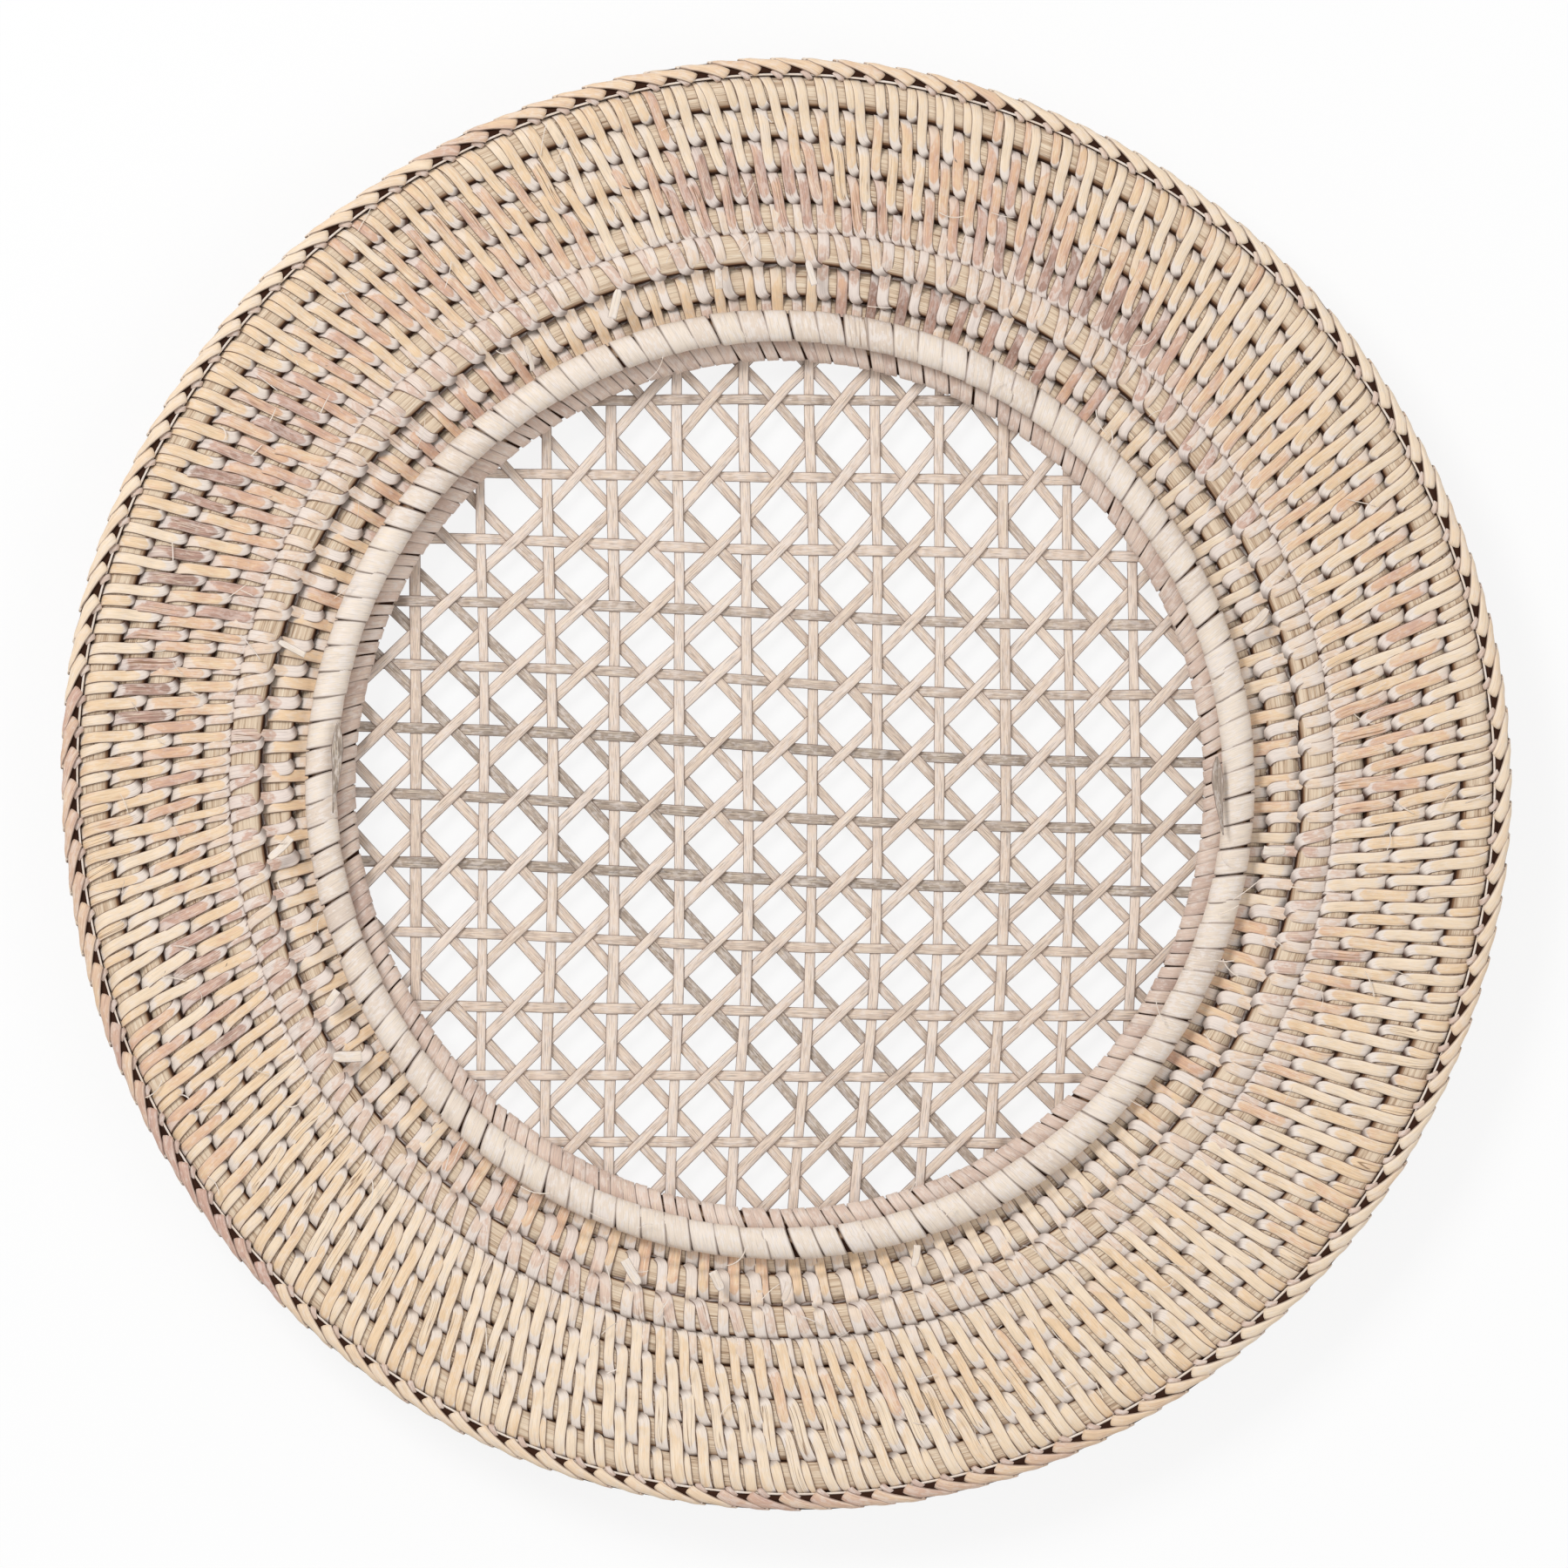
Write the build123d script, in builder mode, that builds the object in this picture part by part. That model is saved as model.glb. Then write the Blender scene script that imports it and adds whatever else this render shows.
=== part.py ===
from build123d import *

import os
from math import cos, pi, sin, sqrt

# A round rattan basket, seen as it stands: +Z up, origin on the table under its centre.
# Eight rods are coiled into a wide brim and a shallow well. The well is closed by an
# open six-way cane mesh, laid in four directions and held between two rings.
# All sizes are in millimetres.

# ---- driving dimensions ----
rim_diameter = 350.0  # over the plaited edge
plait_width = 3.8  # radial width of the plaited edge
plait_height = 5.6
core_width = 7.3  # one coiled rod with its binding
core_height = 5.5
row_count = 8
run_count = 60  # short straight runs in which each ring is bent round
welt_row = 6  # the row that stands proud, counted inwards from the edge
welt_lift = 2.2  # how far it stands above the line of the brim
brim_rise = 1.1  # rise from one brim row to the next outer one
wall_rise = 2.4  # rise from one row of the well's wall to the next
mesh_ring_width = 8.2
mesh_ring_height = 6.8
well_ring_width = 7.6
well_ring_height = 5.6
foot_ring_width = 6.4
foot_ring_height = 3.5
cane_width = 2.8
cane_thickness = 0.5
mesh_pitch = 16.0  # between neighbouring upright canes, and between level ones
mesh_shift_x = -3.8  # the mesh is laid a little off the centre of the ring
mesh_shift_y = 3.9

# ---- clearances ----
row_gap = 0.24  # between neighbouring rods
seat_gap = 0.1  # under a ring that lies in the groove between two others
bend_ease = 0.1  # a bent cane stays flat this far past the edge of what it crosses

# ---- section of a rod, as shares of its width and height ----
foot_share = 0.86
shoulder_share = 0.55
crown_share = 0.4

# ---- radii, worked inwards from the edge ----
rim_radius = rim_diameter / 2
plait_inner_radius = rim_radius - plait_width
row_pitch = core_width + row_gap
wall_inner_radius = plait_inner_radius - row_count * row_pitch
mesh_ring_radius = wall_inner_radius - row_gap - mesh_ring_width / 2
mesh_opening_radius = mesh_ring_radius - mesh_ring_width / 2
cane_end_radius = mesh_ring_radius + mesh_ring_width / 4

# ---- heights, worked up from the table ----
weave_base = foot_ring_height + cane_thickness  # underside of the lowest straight canes
mesh_ring_base = weave_base + 4 * cane_thickness  # on top of the highest bends


def row_radius(row):
    """Middle of a coiled row, the outermost being row 1."""
    return plait_inner_radius - (row - 0.5) * row_pitch


def row_base(row):
    """Underside of a coiled row: the wall climbs steeply, the brim gently."""
    if row > welt_row:
        return mesh_ring_base + (row_count + 1 - row) * wall_rise
    wall_top = mesh_ring_base + (row_count - welt_row) * wall_rise
    return wall_top + (welt_row + 1 - row) * brim_rise + (welt_lift if row == welt_row else 0)


def roof_height(radius, rod_radius, base, width, height):
    """Height of a rod's top at a radius: level on the crown, then down to the shoulder."""
    past_crown = max(abs(radius - rod_radius) - crown_share * width / 2, 0)
    slope_width = (1 - crown_share) * width / 2
    return base + height - past_crown / slope_width * (1 - shoulder_share) * height


def bent_ring(section):
    """A ring of the given section, whose points are radii and heights."""
    path_radius = section[0][0]
    turns = [2 * pi * run / run_count for run in range(run_count)]
    with BuildPart() as ring:
        with BuildLine() as path:
            Polyline(*((path_radius * cos(turn), path_radius * sin(turn)) for turn in turns), close=True)
        with BuildSketch(Plane.XZ):
            with BuildLine():
                Polyline(*section, close=True)
            make_face()
        sweep(path=path.line, transition=Transition.RIGHT)
    return ring.part


def rod_section(radius, base, width, height):
    """A rod and its binding: flat foot, flanks that flare to the shoulders, and a crown."""
    foot = foot_share * width / 2
    crown = crown_share * width / 2
    shoulder = base + shoulder_share * height
    return [
        (radius - foot, base),
        (radius + foot, base),
        (radius + width / 2, shoulder),
        (radius + crown, base + height),
        (radius - crown, base + height),
        (radius - width / 2, shoulder),
    ]


def save(part, name):
    """Label a finished piece and write its file."""
    part.label = name
    export_step(part, f"parts/{name}.step")


os.makedirs("parts", exist_ok=True)

# ---- foot ring: the flat ring that the basket stands on ----
foot_inner_radius = mesh_ring_radius - foot_ring_width / 2
foot_outer_radius = mesh_ring_radius + foot_ring_width / 2
foot_ring = bent_ring(
    [
        (foot_inner_radius, 0),
        (foot_outer_radius, 0),
        (foot_outer_radius, foot_ring_height),
        (foot_inner_radius, foot_ring_height),
    ]
)
save(foot_ring, "foot_ring")

# ---- mesh ring: clamps the ends of the canes down on the foot ring ----
mesh_ring = bent_ring(
    rod_section(mesh_ring_radius, mesh_ring_base, mesh_ring_width, mesh_ring_height)
)
save(mesh_ring, "mesh_ring")

# ---- coiled rows of the brim and of the well's wall ----
for row in range(1, row_count + 1):
    coil_row = bent_ring(rod_section(row_radius(row), row_base(row), core_width, core_height))
    save(coil_row, f"coil_row_{row}")

# ---- well ring: lies in the groove between the innermost row and the mesh ring ----
inner_row = (row_radius(row_count), row_base(row_count), core_width, core_height)
well_ring_edge = wall_inner_radius + foot_share * well_ring_width / 2
well_ring_base = roof_height(well_ring_edge, *inner_row) + seat_gap
well_ring = bent_ring(
    rod_section(wall_inner_radius, well_ring_base, well_ring_width, well_ring_height)
)
save(well_ring, "well_ring")

# ---- plaited edge: stands round the outermost row, level with its upper half ----
plait_base = row_base(1) + shoulder_share * core_height - plait_height / 3
plait_chamfer = plait_width / 3
plait_seat_radius = plait_inner_radius + row_gap / 2
plaited_edge = bent_ring(
    [
        (plait_seat_radius, plait_base),
        (rim_radius - plait_chamfer, plait_base),
        (rim_radius, plait_base + plait_height / 2),
        (rim_radius - plait_chamfer, plait_base + plait_height),
        (plait_seat_radius, plait_base + plait_height),
    ]
)
save(plaited_edge, "plaited_edge")


# ---- cane mesh ----
def half_chord(distance):
    """Half the length of a cane that passes the centre at a distance."""
    return sqrt(cane_end_radius**2 - distance**2)


def places_across(shift, spacing):
    """How far from the centre the parallel canes lie, up to the last one clear of the ring."""
    reach = mesh_opening_radius - 2 * cane_width
    count = int(rim_radius / spacing) + 1
    places = [shift + (step + 0.5) * spacing for step in range(-count, count)]
    return [place for place in places if abs(place) < reach]


def plane_of_canes(angle, level):
    """The plane under a layer of straight canes that run at an angle."""
    return Plane.XY.offset(weave_base + level * cane_thickness).rotated((0, 0, angle))


upright_places = places_across(mesh_shift_x, mesh_pitch)
level_places = places_across(mesh_shift_y, mesh_pitch)

# The diagonals cross halfway between the knots of the upright and the level canes.
diagonal_pitch = mesh_pitch / sqrt(2)
falling_places = places_across((mesh_shift_y + mesh_shift_x) / sqrt(2), diagonal_pitch)
rising_places = places_across((mesh_shift_y - mesh_shift_x) / sqrt(2), diagonal_pitch)

# Falling canes lie lowest, rising ones on them, and the upright ones on both.
with BuildPart() as falling_canes:
    for place in falling_places:
        with BuildSketch(plane_of_canes(-45, 0)):
            with Locations((0, place)):
                Rectangle(2 * half_chord(place), cane_width)
        extrude(amount=cane_thickness)
save(falling_canes.part, "falling_canes")

with BuildPart() as rising_canes:
    for place in rising_places:
        with BuildSketch(plane_of_canes(45, 1)):
            with Locations((0, place)):
                Rectangle(2 * half_chord(place), cane_width)
        extrude(amount=cane_thickness)
save(rising_canes.part, "rising_canes")

for number, place in enumerate(upright_places, start=1):
    with BuildPart() as upright_cane:
        with BuildSketch(plane_of_canes(90, 2)):
            with Locations((0, -place)):
                Rectangle(2 * half_chord(place), cane_width)
        extrude(amount=cane_thickness)
    save(upright_cane.part, f"upright_cane_{number:02}")


# Level canes are the weavers: over each upright, and down under the diagonals between.
crest_reach = cane_width / 2 + bend_ease
trough_reach = (1 + sqrt(2)) * cane_width / 2 + bend_ease
crest_height = 3 * cane_thickness
trough_height = -cane_thickness


def weaver_height(x):
    """Underside of a level cane above the lowest straight canes."""
    past_upright = abs((x - mesh_shift_x) % mesh_pitch - mesh_pitch / 2)
    along = (past_upright - crest_reach) / (mesh_pitch / 2 - trough_reach - crest_reach)
    share = min(max(along, 0), 1)
    return crest_height + share * (trough_height - crest_height)


def weaver_outline(end):
    """Side view of a level cane that reaches from -end to end."""
    trough_start = mesh_pitch / 2 - trough_reach
    knots = [upright_places[0] - mesh_pitch, *upright_places, upright_places[-1] + mesh_pitch]
    bends = (-crest_reach, crest_reach, trough_start, mesh_pitch - trough_start)
    inner = [knot + bend for knot in knots for bend in bends if abs(knot + bend) < end]
    stations = [-end, *inner, end]
    lower = [(x, weave_base + weaver_height(x)) for x in stations]
    upper = [(x, z + cane_thickness) for x, z in reversed(lower)]
    return lower + upper


for number, place in enumerate(level_places, start=1):
    with BuildPart() as level_cane:
        with BuildSketch(Plane.XZ.offset(-place)):
            with BuildLine():
                Polyline(*weaver_outline(half_chord(place)), close=True)
            make_face()
        extrude(amount=cane_width / 2, both=True)
    save(level_cane.part, f"level_cane_{number:02}")
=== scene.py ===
from math import pi, radians, tan, tau

import bpy
import numpy as np
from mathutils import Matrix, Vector


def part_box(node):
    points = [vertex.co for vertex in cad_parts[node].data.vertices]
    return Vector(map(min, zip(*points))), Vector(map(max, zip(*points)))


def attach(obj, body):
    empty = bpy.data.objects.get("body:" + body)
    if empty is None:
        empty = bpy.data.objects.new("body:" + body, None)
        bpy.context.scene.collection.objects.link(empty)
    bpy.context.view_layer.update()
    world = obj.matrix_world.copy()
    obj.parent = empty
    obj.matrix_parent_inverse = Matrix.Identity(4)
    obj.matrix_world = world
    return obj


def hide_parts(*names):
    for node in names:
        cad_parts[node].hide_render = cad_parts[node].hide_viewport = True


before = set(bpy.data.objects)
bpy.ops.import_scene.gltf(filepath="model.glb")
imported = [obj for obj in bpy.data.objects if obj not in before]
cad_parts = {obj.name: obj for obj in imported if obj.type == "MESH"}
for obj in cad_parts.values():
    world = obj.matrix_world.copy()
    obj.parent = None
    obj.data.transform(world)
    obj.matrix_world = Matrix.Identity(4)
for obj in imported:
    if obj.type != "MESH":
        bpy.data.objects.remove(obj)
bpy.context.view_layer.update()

# A whitewashed rattan basket: rods bound in rows by strips of cane, a plaited edge, two
# wrapped rings round the well and one underfoot, and an open floor of interlaced canes.
# Lengths are in metres, and every place comes from the CAD nodes' boxes.

MM = 0.001
random = np.random.default_rng(11)

# ---- sizes of what only the looks have ----
STRIP_THICKNESS = 0.45 * MM
STRIP_WIDTH = 3.0 * MM  # where a stitch starts at the brim, and a little less further in
WALL_STRIP_WIDTH = 3.05 * MM
SHORT_SHARE = 0.92  # width of a strip over one row, of the width over two
DRIFT_PER_ROW = 1.3 * MM  # how far clockwise a row's stitches start from the row outside it
BRIM_LEAN = 19  # degrees from straight inward, clockwise
WALL_LEAN = 9
SHORT_LEAN = 22  # of the stitches over the outermost row alone
LAST_LEAN = 14  # of the stitches over the brim's innermost row alone
WELT_LEAN = 28
STITCH_END = 0.76  # share of a stitch's length past which it narrows and turns aside
STITCH_HOOK = 1.15 * MM  # how far a stitch's end turns aside
BRIM_STITCHES = 144  # round each of the outer rows
WALL_STITCHES = 101  # round each of the rows that line the well
WELL_WRAPS = 112
MESH_WRAPS = 200
CORE_INSET = 0.5 * MM  # how far a rod's crown lies under the strips round it
MESH_RING_WIDTH = 8.2 * MM
OVERHANG = 0.09  # how far a row's full flank reaches over the next row, in half widths
RAISED_EDGE = 0.12  # how much a strip is turned about its length, so that one edge stands up
WRAP_DEPTH = 0.9 * MM  # how far a wrapped ring's core lies inside its wraps
OVAL = 0.0035  # how far the rim is out of round, as a share of its radius
WELL_DRIFT = 1.4 * MM  # how far the well's rings lie off the centre
ROW_COUNT = 8
WELT_ROW = 6
WELT_TONES = 9  # stands for a row's number, so that the welt's tones are its own


# ---------------------------------------------------------------- the frame
class Ring:
    """A ring of the frame: radius and height of its middle, and half of its section."""

    def __init__(self, inner, outer, low, high):
        self.inner = inner
        self.outer = outer
        self.radius = (outer + inner) / 2
        self.middle = (low + high) / 2
        self.half_width = (outer - inner) / 2
        self.half_height = (high - low) / 2

    def within(self, inset):
        """The ring that lies inside this one by a distance."""
        low, high = self.middle - self.half_height, self.middle + self.half_height
        return Ring(self.inner + inset, self.outer - inset, low + inset, high - inset)


def ring_of(node, inner):
    """The ring that a node is, from its box and its inner radius."""
    low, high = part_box(node)
    return Ring(inner, high[0], low[2], high[2])


def coil_rows():
    """The coiled rows, outermost first, each reaching in to the next one."""
    outers = [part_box(f"coil_row_{row}")[1][0] for row in range(1, ROW_COUNT + 1)]
    pitch = outers[0] - outers[1]
    return [ring_of(f"coil_row_{row + 1}", outer - pitch) for row, outer in enumerate(outers)]


rows = coil_rows()
well_ring = ring_of("well_ring", 2 * rows[-1].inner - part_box("well_ring")[1][0])
mesh_ring = ring_of("mesh_ring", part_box("mesh_ring")[1][0] - MESH_RING_WIDTH)
foot_ring = ring_of("foot_ring", 2 * mesh_ring.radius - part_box("foot_ring")[1][0])
edge_ring = ring_of("plaited_edge", rows[0].outer)


def handmade(points):
    """Move points the little way that makes the rings uneven, as handwork is.

    share is 0 at the foot, which stays level on the table, and 1 at the rim.
    """
    x, y, z = points[..., 0], points[..., 1], points[..., 2]
    radius = np.hypot(x, y)
    angle = np.arctan2(y, x)
    share = np.clip((radius - foot_ring.outer) / (edge_ring.outer - foot_ring.outer), 0, 1)
    oval = OVAL * np.cos(2 * (angle - radians(128))) * share
    wobble = 0.0011 * np.sin(5 * angle + 1.0) + 0.0007 * np.sin(9 * angle + 40 * radius)
    scale = 1 + oval - OVAL * share + wobble
    near = np.clip((radius - 0.05) / 0.05, 0, 1)
    drift = -WELL_DRIFT * (1 - share) * near**2 * (3 - 2 * near)
    lift = share * MM * (0.5 * np.sin(3 * angle + 0.7) + 0.3 * np.sin(7 * angle + 2.1))
    return np.stack([x * scale + drift, y * scale, np.maximum(z + lift, 0)], axis=-1)


# ---------------------------------------------------------------- meshes
def make_mesh(name, points, quads, grain, wear_and_painted_shade, shadow, material):
    """A piece from its points and faces, with the attributes that its material reads."""
    mesh = bpy.data.meshes.new(name)
    mesh.vertices.add(len(points))
    mesh.vertices.foreach_set("co", handmade(points).astype(np.float32).ravel())
    mesh.loops.add(quads.size)
    mesh.loops.foreach_set("vertex_index", quads.astype(np.int32).ravel())
    mesh.polygons.add(len(quads))
    mesh.polygons.foreach_set("loop_start", np.arange(0, quads.size, 4, dtype=np.int32))
    mesh.polygons.foreach_set("use_smooth", np.ones(len(quads), dtype=bool))
    mesh.attributes.new("grain", "FLOAT_VECTOR", "POINT").data.foreach_set(
        "vector", grain.astype(np.float32).ravel()
    )
    mesh.attributes.new("wear_and_painted_shade", "FLOAT_COLOR", "POINT").data.foreach_set(
        "color", wear_and_painted_shade.astype(np.float32).ravel()
    )
    mesh.attributes.new("shadow", "FLOAT", "POINT").data.foreach_set(
        "value", np.broadcast_to(shadow, len(points)).astype(np.float32)
    )
    mesh.update(calc_edges=True)
    mesh.validate()
    piece = bpy.data.objects.new(name, mesh)
    bpy.context.scene.collection.objects.link(piece)
    mesh.materials.append(material)
    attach(piece, "root")
    return piece


# Section of a strip: across from -1 to 1, and height as a share of the thickness.
SECTION = np.array(
    [(-1, 0.45), (-0.91, 0.88), (-0.45, 1), (0.45, 1), (0.91, 0.88), (1, 0.45), (0.9, 0), (-0.9, 0)]
)


def unit(vectors):
    """Vectors scaled to a length of one."""
    return vectors / np.maximum(np.linalg.norm(vectors, axis=-1, keepdims=True), 1e-12)


def strip_faces(strips, stations, corners):
    """Faces round many strips whose points are numbered strip by strip, station by station."""
    first = np.arange(strips)[:, None, None] * stations * corners
    along = np.arange(stations - 1)[None, :, None] * corners
    here = np.arange(corners)[None, None, :]
    after = (here + 1) % corners
    base = first + along
    sides = np.stack([base + here, base + after, base + corners + after, base + corners + here], -1)
    half = corners // 2
    cap = []
    for step in range(half - 1):
        cap.append((step, corners - 1 - step, corners - 2 - step, step + 1))
    cap = np.array(cap)
    start = first + cap[None]
    end = first + (stations - 1) * corners + cap[None, :, ::-1]
    return np.concatenate([sides.reshape(-1, 4), start.reshape(-1, 4), end.reshape(-1, 4)])


def lay_strips(
    name,
    centre,
    normal,
    width,
    thickness,
    tone,
    material,
    kinds=None,
    first_share=0.0,
    side=None,
    bulge=0.0,
    turned=None,
    shadow=0.0,
):
    """Many strips of cane in one piece.

    centre and normal have a vector for each strip and station, width and thickness a number.
    tone is each strip's own shade, and kinds its share of cracks and worn patches. The share of its
    length that the wash reads starts at first_share, and counts from the other end of the strips
    in turned. side is given where an end is cut aslant, and bulge is how far the middle stands
    above the two long edges. shadow is how dark each station lies, from 0 to 1, as painted shade.
    """
    strips, stations = centre.shape[:2]
    tangent = unit(np.gradient(centre, axis=1))
    if side is None:
        side = unit(np.cross(tangent, normal))
    upright = unit(np.cross(side, tangent))
    across = SECTION[:, 0]
    height = SECTION[:, 1]
    width = np.broadcast_to(width, (strips, stations))
    thickness = np.broadcast_to(thickness, (strips, stations))
    offset = side[:, :, None] * (across * width[..., None] / 2)[..., None]
    bulge = np.broadcast_to(bulge, (strips, stations))
    lifted = height * thickness[..., None] + (1 - across**2) * bulge[..., None]
    rise = upright[:, :, None] * lifted[..., None]
    points = (centre[:, :, None] + offset + rise).reshape(-1, 3)

    steps = np.linalg.norm(np.diff(centre, axis=1), axis=-1)
    run = np.concatenate([np.zeros((strips, 1)), np.cumsum(steps, axis=1)], axis=1)
    share = first_share + (1 - first_share) * run / run[:, -1:]
    if turned is not None:
        share = np.where(turned[:, None], 1 - share, share)
    seed = random.uniform(0, 900, strips)
    corners = len(SECTION)
    full = (strips, stations, corners)
    grain = np.stack(
        [
            np.broadcast_to(across * width[..., None] / 2 / MM, full) + seed[:, None, None],
            np.broadcast_to((run / MM)[..., None], full),
            np.broadcast_to(seed[:, None, None], full),
        ],
        axis=-1,
    )
    if kinds is None:
        kinds = random.uniform(0, 1, strips)
    wear_and_painted_shade = np.stack(
        [
            np.broadcast_to(tone[:, None, None], full),
            np.broadcast_to(share[..., None], full),
            np.broadcast_to(across * 0.5 + 0.5, full),
            np.broadcast_to(kinds[:, None, None], full),
        ],
        axis=-1,
    )
    quads = strip_faces(strips, stations, corners)
    shadow = np.broadcast_to(shadow, (strips, stations))[..., None] * np.ones(corners)
    return make_mesh(
        name, points, quads, grain.reshape(-1, 3), wear_and_painted_shade.reshape(-1, 4), shadow.ravel(), material
    )


def smooth_path(points, stations):
    """A Catmull-Rom curve through points, sampled evenly between them."""
    points = np.asarray(points, float)
    padded = np.concatenate([2 * points[:1] - points[1:2], points, 2 * points[-1:] - points[-2:-1]])
    at = np.linspace(0, len(points) - 1 - 1e-9, stations)
    i = at.astype(int)
    t = (at - i)[:, None]
    a, b, c, d = (padded[i + k] for k in range(4))
    return 0.5 * (2 * b + (c - a) * t + (2 * a - 5 * b + 4 * c - d) * t**2 + (3 * b - a - 3 * c + d) * t**3)


def round_the_axis(angle, radius, height, out, up):
    """Places and normals from angles, radii and heights, and from normals outward and upward."""
    angle, radius, height, out, up = np.broadcast_arrays(angle, radius, height, out, up)
    centre = np.stack([radius * np.cos(angle), radius * np.sin(angle), height], axis=-1)
    normal = np.stack([out * np.cos(angle), out * np.sin(angle), up], axis=-1)
    return centre, normal


def shade_field(angle, row):
    """A slowly changing shade over the basket, from 0 to 1, so that strips vary in patches."""
    waves = np.sin(3 * angle + 1.7 * row) + np.sin(7 * angle - 2.3 * row + 1) + np.sin(13 * angle + row)
    return 0.5 + waves / 6


def runs_of_stitches(angle, row, longest=13):
    """Tones and kinds that hold for a run of stitches, as one length of cane makes several."""
    count = len(angle)
    ends = np.cumsum(random.integers(longest // 4, longest, count))
    run = np.searchsorted(ends, np.arange(count), side="right")
    tone = random.uniform(0, 1, count)[run]
    kind = random.uniform(0, 1, count)[run]
    tone = 0.25 * shade_field(angle, row) + 0.75 * tone + random.normal(0, 0.05, count)
    paler_below, darker_left = np.clip(-np.sin(angle), 0, 1), np.clip(-np.cos(angle), 0, 1)
    tone += 0.14 * paler_below - 0.06 * darker_left
    tone += 0.2 * (row < 2)
    return np.clip(tone, 0, 1), np.clip(kind + random.normal(0, 0.02, count), 0, 1)


# ---------------------------------------------------------------- materials
# Colours as a screen shows them. The cane's own shades run from dusky to pale.
DUSK = (166, 132, 118)
PINK = (206, 167, 150)
TAN = (227, 185, 153)
GOLD = (238, 207, 170)
CREAM = (244, 222, 195)
PALE = (238, 220, 204)
WASH = (240, 229, 221)
STREAK = (244, 228, 204)  # a pale fibre
FIBRE_STREAK = (248, 236, 216)
FIBRE_MIDDLE = (200, 172, 144)
CRACK_BROWN = (136, 100, 72)
SPECK_BROWN = (128, 96, 72)
# Browns of painted shadow: along the strips' long edges, and where the strips go down between the rods.
EDGE_SHADOW_BROWN = (98, 60, 40)
SHADE_BROWN = (72, 40, 23)


def srgb(red, green, blue):
    """A colour as a screen shows it, from 0 to 255, as the shader's linear colour."""
    colour = np.array([red, green, blue]) / 255
    linear = np.where(colour <= 0.04045, colour / 12.92, ((colour + 0.055) / 1.055) ** 2.4)
    return (*linear.tolist(), 1.0)


class Shader:
    """A material's nodes, added and linked by short calls."""

    def __init__(self, name):
        self.material = bpy.data.materials.new(name)
        self.material.use_nodes = True
        self.tree = self.material.node_tree
        self.surface = self.tree.nodes["Principled BSDF"]

    def node(self, kind, settings=None, **inputs):
        """A node whose inputs are linked or set, by name or, as i0 or i1, by number."""
        made = self.tree.nodes.new(kind)
        for key, value in (settings or {}).items():
            setattr(made, key, value)
        for key, value in inputs.items():
            numbered = key[0] == "i" and key[1:].isdigit()
            self.feed(made.inputs[int(key[1:]) if numbered else key], value)
        return made

    def feed(self, socket, value):
        """Link an output to a socket, or set the socket to a number or a colour."""
        if isinstance(value, bpy.types.NodeSocket):
            self.tree.links.new(value, socket)
        else:
            socket.default_value = value

    def attribute(self, name):
        return self.node("ShaderNodeAttribute", {"attribute_name": name})

    def math(self, operation, first, second=0.0):
        return self.node("ShaderNodeMath", {"operation": operation}, i0=first, i1=second).outputs[0]

    def scaled(self, vector, scale):
        made = self.node("ShaderNodeVectorMath", {"operation": "MULTIPLY"}, i0=vector, i1=scale)
        return made.outputs[0]

    def noise(self, vector, detail=2.0, roughness=0.5):
        made = self.node(
            "ShaderNodeTexNoise", None, Vector=vector, Scale=1.0, Detail=detail, Roughness=roughness
        )
        return made.outputs["Fac"]

    def ramp(self, value, stops):
        """A colour ramp from its stops' positions and colours."""
        made = self.node("ShaderNodeValToRGB", None, Fac=value)
        elements = made.color_ramp.elements
        elements[0].position, elements[0].color = stops[0]
        elements[1].position, elements[1].color = stops[-1]
        for position, colour in stops[1:-1]:
            elements.new(position).color = colour
        return made.outputs["Color"]

    def remap(self, value, low, high, to_low=0.0, to_high=1.0):
        """A smooth step of a value between two limits."""
        made = self.node("ShaderNodeMapRange", {"interpolation_type": "SMOOTHSTEP"}, Value=value)
        for key, number in zip(("From Min", "From Max", "To Min", "To Max"), (low, high, to_low, to_high)):
            made.inputs[key].default_value = number
        return made.outputs["Result"]

    def mix(self, share, first, second, blend="MIX"):
        made = self.node("ShaderNodeMix", {"data_type": "RGBA", "blend_type": blend})
        for place, value in ((0, share), (6, first), (7, second)):
            self.feed(made.inputs[place], value)
        return made.outputs[2]

    def link(self, output, name):
        self.tree.links.new(output, self.surface.inputs[name])


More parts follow.
